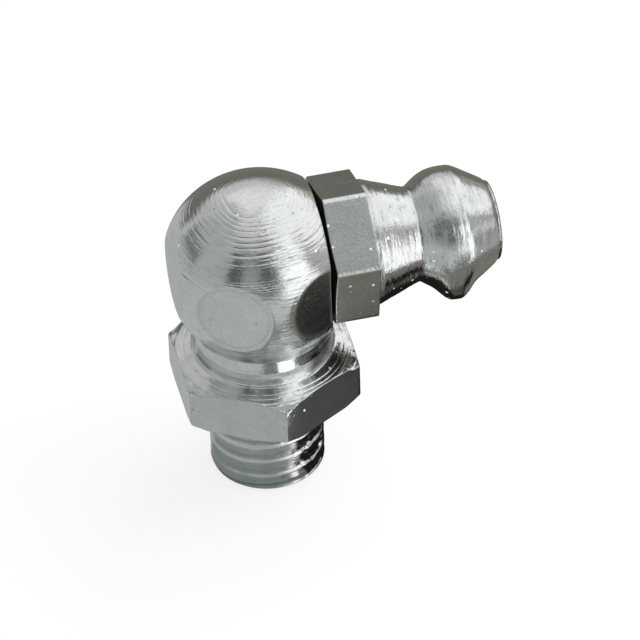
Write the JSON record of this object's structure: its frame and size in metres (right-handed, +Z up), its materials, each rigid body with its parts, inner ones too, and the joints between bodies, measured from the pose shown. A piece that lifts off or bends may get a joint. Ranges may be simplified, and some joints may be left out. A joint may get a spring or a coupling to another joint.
{
  "type": "grease nipple",
  "caption": "Right-angled grease nipple: threaded stud with hexagon, ball-shaped elbow and a pressed-in coupler head with a sprung check ball.",
  "frame": {"origin": "centre of the seat under the hexagon, on the threaded stud's axis", "axes": "+Z up along the stud's axis, away from the stud; +X along the nipple head towards its tip; +Y completes a right-handed frame"},
  "size_m": [0.0168, 0.0104, 0.0179],
  "materials": {
    "body_plate": "bright zinc plate over lathe-turned steel",
    "head_plate": "bright zinc plate over lathe-turned steel",
    "ball_steel": "polished bearing steel",
    "spring_steel": "drawn spring wire, bright"
  },
  "bodies": {
    "housing": {"elbow_body": "body_plate", "nipple_head": "head_plate", "check_spring": "spring_steel"},
    "valve_ball": {"check_ball": "ball_steel"}
  },
  "joints": [
    {"name": "check_ball_slide", "type": "slide", "parent": "housing", "child": "valve_ball", "axis": [-1, 0, 0], "range_m": [0, 0.0012], "stiffness_N_per_m": 1700, "springref_m": -0.001, "deforming": ["check_spring"]}
  ]
}
